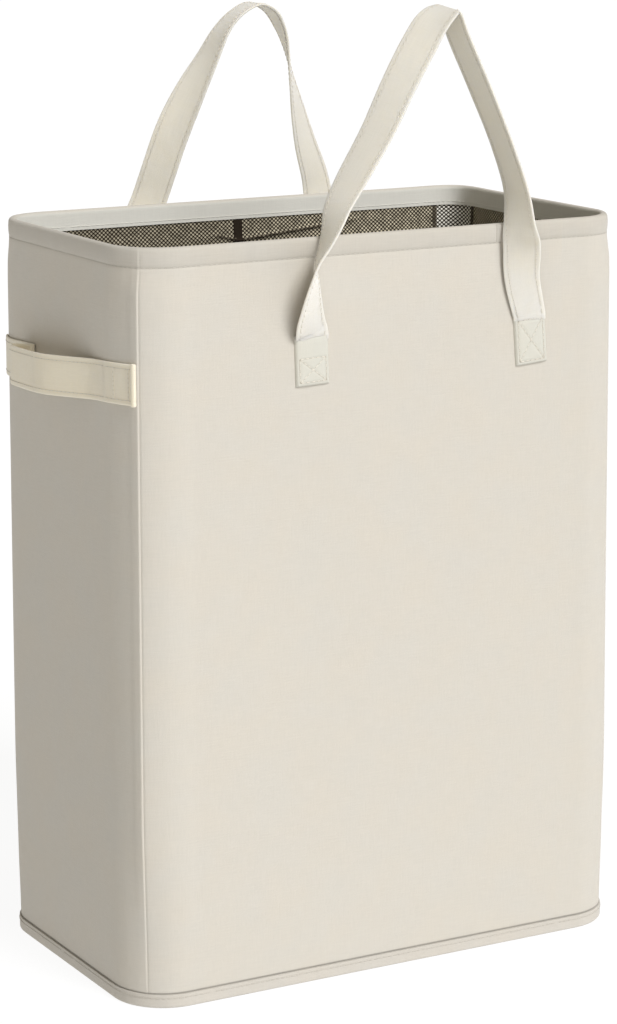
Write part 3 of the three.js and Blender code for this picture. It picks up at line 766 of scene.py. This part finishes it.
def loop_path(shares, side, left, right, tall, steps=8):
    """A loop's path from patch to patch, with its width and face directions. It stands tall over the rim."""
    plane, low, tuck = DEPTH / 2 + 0.0023, PATCH_TOP + 0.0003, np.array([0, 0, 0.004])
    share = np.array(shares, float)
    climb = share[:, 2]
    knots = np.stack([left + (right - left) * share[:, 0], side * (plane + share[:, 1] * STRAP_WIDTH),
                      low + (HEIGHT - low) * np.minimum(climb, 1) + tall * np.maximum(climb - 1, 0)], 1)
    path = curve_through(knots, steps)
    roll = np.radians(np.interp(np.arange(len(path)) / steps, np.arange(len(share)), share[:, 3]))
    kernel = np.hanning(steps + 3)[1:-1]
    roll = np.convolve(np.pad(roll, steps // 2, mode="edge"), kernel / kernel.sum(), "valid")
    along = unit(np.gradient(path, axis=0))
    along[0], along[-1] = (0, 0, 1), (0, 0, -1)
    middle = unit(np.stack([along[:, 2], np.zeros(len(path)), -along[:, 0]], 1))
    inward = -side * np.cross(along, middle)
    across = unit(middle * np.cos(roll)[:, None] + inward * np.sin(roll)[:, None])
    normal = unit(np.cross(along, across))
    path = np.vstack([path[0] - tuck, path, path[-1] - tuck])
    return path, *(np.vstack([v[:1], v, v[-1:]]) for v in (across, normal))


# The crossed box of stitches on a patch: its sides and its foot, as shares of half the patch's width and height
BOX_SIDE, BOX_FOOT = 0.78, 0.84


def sewn_patch(name, side, x, lean, box_top):
    """A patch over a loop's end, with its stitches. It leans by some degrees about the middle of its top edge."""
    rows, columns = np.linspace(-1, 1, 41)[:, None], np.linspace(-1, 1, 31)[None, :]
    soft = (1 - np.abs(rows) ** 14) * (1 - np.abs(columns) ** 12)
    across, level = np.abs(columns), np.abs((rows - (box_top - BOX_FOOT) / 2) / ((box_top + BOX_FOOT) / 2))
    box = np.maximum(bell(level, 1, 0.06) * (across < 0.83), bell(across, BOX_SIDE, 0.06) * (level < 1.05))
    cross = bell(level - across / BOX_SIDE, 0, 0.09) * (level < 1)
    height = 0.0008 + 0.0024 * soft ** 0.5 - 0.0005 * np.maximum(box, cross)
    tilt = math.radians(lean)
    turned = np.array([(math.cos(tilt), -math.sin(tilt)), (math.sin(tilt), math.cos(tilt))])

    def on_patch(dx, dz):
        """The x and z of a place on the patch, given from the middle of its top edge."""
        moved = grid(dx, dz) @ turned.T
        return x + moved[..., 0], PATCH_TOP + moved[..., 1]

    px, pz = on_patch(columns * (STRAP_WIDTH / 2 - 0.0002), (rows - 1) * PATCH_HEIGHT / 2)
    faces = [grid(px, side * (DEPTH / 2 + h), pz) for h in (0.0003 + height, 0.0003)]
    patch = sheet_between(name, *faces, rows[:, 0] * PATCH_HEIGHT / 2, columns[0] * STRAP_WIDTH / 2, patch_cloth)
    right = BOX_SIDE * STRAP_WIDTH / 2
    low, high = (PATCH_HEIGHT / 2 * (share - 1) for share in (-BOX_FOOT, box_top))
    corners = np.array([(-right, low), (right, low), (right, high), (-right, high)])
    marks = []
    for a, b in ((0, 1), (1, 2), (2, 3), (3, 0), (0, 2), (1, 3)):
        span = corners[b] - corners[a]
        count = max(2, round(np.linalg.norm(span) / THREAD_PITCH))
        marks += [(*(corners[a] + span * (i + 0.5) / count), *unit(span)) for i in range(count)]
    marks = np.array(marks)
    mark_x, mark_z = on_patch(marks[:, 0], marks[:, 1])
    centres = np.stack([mark_x, np.full(len(marks), side * (DEPTH / 2 + 0.0031)), mark_z], 1)
    run_x, run_z = (marks[:, 2:] @ turned.T).T
    ahead = np.stack([run_x, np.zeros(len(marks)), run_z], 1)
    facing = np.tile([0.0, side, 0.0], (len(marks), 1))
    return patch, threads(f"{name}_stitching", centres, ahead, facing, finish=strap_thread)


# Each loop: its wall, its side, the middles of its two ends, its height over the rim, its knots, and the top of the
# box of stitches on its left patch
LOOPS = [("front", -1, -0.072, 0.129, 0.172, FRONT_LOOP, 0.1), ("back", 1, -0.095, 0.095, 0.1655, BACK_LOOP, 0.5)]
HINGE_OUT = 0.1343
for name, side, left, right, tall, shares, left_box in LOOPS:
    path, across, normal = loop_path(shares, side, left, right, tall)
    piece, run = strap(f"{name}_loop", path, across, normal, STRAP_WIDTH, loop_cloth)
    sewing = threads(f"{name}_loop_stitching", *strap_rows(path, across, normal, STRAP_WIDTH, run),
                     finish=strap_thread)
    bend = [((left + right) / 2, side * HINGE_OUT, PATCH_TOP + rise) for rise in (0, 0.018)]
    follow(piece, "strap_webbing", [f"{name}_wall", f"{name}_handle"], bend, f"{name}_handle_strap")
    follow(sewing, "strap_webbing", [f"{name}_wall", f"{name}_handle"], bend)
    for place, x, lean, box_top in (("left", left, 2.0, left_box), ("right", right, 4.0, BOX_FOOT)):
        patch, marks = sewn_patch(f"{name}_handle_{place}_end", side, x, lean, box_top)
        follow(patch, "strap_webbing", [f"{name}_wall"], None, f"{name}_handle_{place}_patch")
        follow(marks, "strap_webbing", [f"{name}_wall"])

# Side grips: how far their front and back ends lie below the rim, and where the free span starts and ends, from the
# wall's crease. A knot of the span is its share of the way along and of the bulge.
GRIP_WIDTH, GRIP_BULGE, GRIP_DROPS = 0.032, 0.026, (0.104, 0.115)
GRIP_FREE = (0.002 - FLAT_Y, FLAT_Y - 0.038)
GRIP_SPAN = np.array([
    (0, 0), (0.061, 0.023), (0.144, 0.14), (0.295, 0.44), (0.44, 0.71), (0.52, 0.81), (0.60, 0.84), (0.70, 0.83),
    (0.83, 0.79), (0.96, 0.74), (1.04, 0.67), (1.08, 0.57), (1.09, 0.46), (1.075, 0.35), (1.04, 0.255),
    (1.01, 0.185), (0.989, 0.138), (0.979, 0.077), (0.986, 0.016), (1, 0)])
SEAM_GAP, SHORTEST_SEWN = 0.0012, 0.005

# The fold at a grip's front end: its height, half its length, and finer places near it
END_FOLD, END_FOLD_HALF = 0.0013, 0.0016
END_FOLD_PLACES = (0.0001, 0.0004, 0.0009, 0.0016, 0.0024, 0.0032, 0.0039, 0.0044, 0.0047, 0.0052)


def along_wall(u, out):
    """A grip's path over the wall at places u, standing off by a distance, with its width and face directions."""
    out = np.broadcast_to(out, len(u))
    place, outward = outline(u)
    z = HEIGHT - (GRIP_DROPS[0] + (GRIP_DROPS[1] - GRIP_DROPS[0]) * (place[:, 1] + DEPTH / 2) / DEPTH)
    off = 0.0013 + wall_relief(u, z) * (1 - smooth(out, 0, 0.004)) + out
    path = np.stack([place[:, 0] + outward[:, 0] * off, place[:, 1] + outward[:, 1] * off, z], 1)
    ahead = np.gradient(path, axis=0)
    for end, inner in ((0, 1), (-1, -2)):
        if abs(out[end]) < 1e-9:
            ahead[end] = ahead[inner]
    face = unit(np.stack([-ahead[:, 1], ahead[:, 0], np.zeros(len(u))], 1))
    return path, np.tile([0.0, 0.0, 1.0], (len(u), 1)), face


def free_span(crease):
    """Places and stand-offs of a grip's free span, in two parts that meet at the wall's crease. The places run on
    round the outline, so the right grip is the left one turned round: its first part lies at the back."""
    start, finish = GRIP_FREE
    line = curve_through(GRIP_SPAN * (finish - start, GRIP_BULGE) + (start, 0), 12)
    run = lengths(line)
    after = int(np.argmax(line[:, 0] >= 0))
    x, next_x = line[after - 1:after + 1, 0]
    middle = run[after - 1] + (run[after] - run[after - 1]) * x / (x - next_x)
    for low, high in ((0, middle), (middle, run[-1])):
        places = stations(low, high, 0.0013)
        yield crease + np.interp(places, run, line[:, 0]), np.interp(places, run, line[:, 1])


def box_rows(path, across, normal, run, places):
    """Stitches that run across a sewn grip end, at places along it."""
    shares = np.linspace(-0.66, 0.66, 7)
    places = np.repeat(places, len(shares))
    out, side = unit(at_places(normal, run, places)), np.tile(across[0], (len(places), 1))
    offsets = np.resize(shares, (len(places), 1)) * GRIP_WIDTH / 2
    return at_places(path, run, places) + side * offsets + 0.001 * out, side, out


def grip_parts(end, side, tip):
    """A grip's parts: name, places and stand-offs, bodies, how it follows them, and any node it replaces."""
    crease = LEFT_CREASE if side < 0 else RIGHT_CREASE
    crumple = dict(joint=FOLD, axis=(1, 0, 0), anchor=(side * WIDTH / 2, 0, 0), keep=0.08)
    front_edge, back_edge = (crease + place for place in GRIP_FREE[::-side])
    front_span, back_span = list(free_span(crease))[::-side]

    def sewn(a, b):
        return stations(min(a, b), max(a, b), 0.003, [tip - side * p for p in END_FOLD_PLACES]), 0.0

    parts = [("front_end", sewn(tip, front_edge), ["front_wall", f"{end}_front_half"], CORNER_LINES[f"front_{end}"],
              f"{end}_grip_front_end"),
             ("front_span", front_span, [f"{end}_front_half"], crumple, f"{end}_grip_span"),
             ("back_span", back_span, [f"{end}_back_half"], crumple)]
    if side < 0:
        return parts + [("back_end", sewn(back_edge, SEAMS[1] - SEAM_GAP), ["left_back_half", "back_wall"],
                         CORNER_LINES["back_left"], "left_grip_back_end")]
    return parts + [("back_end", sewn(back_edge, RIGHT_BACK), ["right_back_half"], None, "right_grip_back_end"),
                    ("back_bend", sewn(RIGHT_BACK, SEAMS[2] + SEAM_GAP), ["back_wall"], FLATTEN)]


for end, side, tip in (("left", -1, SEAMS[0] + SEAM_GAP), ("right", 1, RIGHT_FRONT + CORNER * math.radians(6))):
    for part, (places, out), bodies, line, *nodes in grip_parts(end, side, tip):
        path, across, normal = along_wall(places, out)
        folded = 1 - (np.abs(places - tip) / END_FOLD_HALF - 1) ** 2
        fold = END_FOLD * np.sqrt(np.clip(folded, 0, 1)) if part == "front_end" else 0.0
        piece, run = strap(f"{end}_grip_{part}_strap", path, across, normal, GRIP_WIDTH, grip_cloth, fold)
        follow(piece, "strap_webbing", bodies, line, *nodes)
        if run[-1] < SHORTEST_SEWN:
            continue
        rows = strap_rows(path, across, normal, GRIP_WIDTH, run, faces=(1,), skip=0.0016)
        if part == "front_end":
            places = (0.0065, run[-1] * 0.62) if side < 0 else (run[-1] - 0.0065, run[-1] * 0.38)
            rows = [np.concatenate(p) for p in zip(rows, box_rows(path, across, normal, run, places))]
        sewing = threads(f"{end}_grip_{part}_stitching", *rows, finish=strap_thread)
        follow(sewing, "strap_webbing", bodies, line)
        f"{end}_{part.split('_')[0]}_board"

# Tape over the liner's middle seam
tape_lines, tape_u = lining_section(0.006, 40, 0.0052), BACK_MIDDLE + np.linspace(-0.004, 0.004, 7)
tape_relief = liner_relief(np.full((len(tape_u), 1), BACK_MIDDLE), tape_lines[1][None, :])
tape = wall_sheet("seam_tape", tape_u, *tape_lines, 0.0006, tape_relief, tape_cloth)
follow(tape, "liner_tape", ["back_wall"], None, "liner_seam_tape")

# Floor, light and camera
FLOOR_REACH, FLOOR_Z = 60, -0.0004
floor_mesh = bpy.data.meshes.new("floor")
floor_mesh.from_pydata([(x * FLOOR_REACH, y * FLOOR_REACH, FLOOR_Z) for x, y in ((-1, -1), (1, -1), (1, 1), (-1, 1))],
                       [], [(0, 1, 2, 3)])
floor = add_object("floor", floor_mesh)
floor_finish = plain("floor", (0.12, 0.12, 0.12), 0.9, 0.0, 0.0)
floor_surface = floor_finish.node_tree.nodes["Principled BSDF"]
floor_surface.inputs["Emission Color"].default_value = (1.0, 1.0, 1.0, 1.0)
floor_surface.inputs["Emission Strength"].default_value = 0.9
floor_mesh.materials.append(floor_finish)

world = bpy.data.worlds.new("studio")
world.use_nodes = True
background = world.node_tree.nodes["Background"]
background.inputs["Color"].default_value = (1.0, 0.94, 0.82, 1.0)
background.inputs["Strength"].default_value = 0.34
bpy.context.scene.world = world
bpy.context.scene.view_settings.view_transform = "Standard"

# Soft light from far off, 42 degrees up and 14 degrees round from the front to the right
sun = bpy.data.lights.new("key", "SUN")
sun.energy, sun.angle, sun.color = 3.0, math.radians(25), (0.96, 0.97, 1.0)
add_object("key", sun).rotation_euler = (math.radians(90 - 42), 0, math.radians(14))

# The camera: its turns, its place, its focal length in pixels of a picture 1024 high, and its shift
YAW, PITCH, ROLL = (math.radians(a) for a in (29.105, 8.599, -0.164))
CAMERA_AT, FOCAL_PIXELS, PICTURE_HEIGHT, SHIFT = (-1.2608, -2.2630, 0.9148), 3186.6, 1024, -0.2
ahead = Vector((math.sin(YAW) * math.cos(PITCH), math.cos(YAW) * math.cos(PITCH), -math.sin(PITCH)))
right = Vector((math.cos(YAW), -math.sin(YAW), 0))
upward = right.cross(ahead)
right, upward = (math.cos(ROLL) * right + math.sin(ROLL) * upward, math.cos(ROLL) * upward - math.sin(ROLL) * right)
camera_data = bpy.data.cameras.new("camera")
camera_data.sensor_width = 36.0
camera_data.lens = FOCAL_PIXELS / PICTURE_HEIGHT * camera_data.sensor_width
camera_data.shift_y = SHIFT
camera_data.clip_end = 60.0
camera = add_object("camera", camera_data)
pose = Matrix((right, upward, -ahead)).transposed().to_4x4()
pose.translation = CAMERA_AT
camera.matrix_world = pose
bpy.context.scene.camera = camera
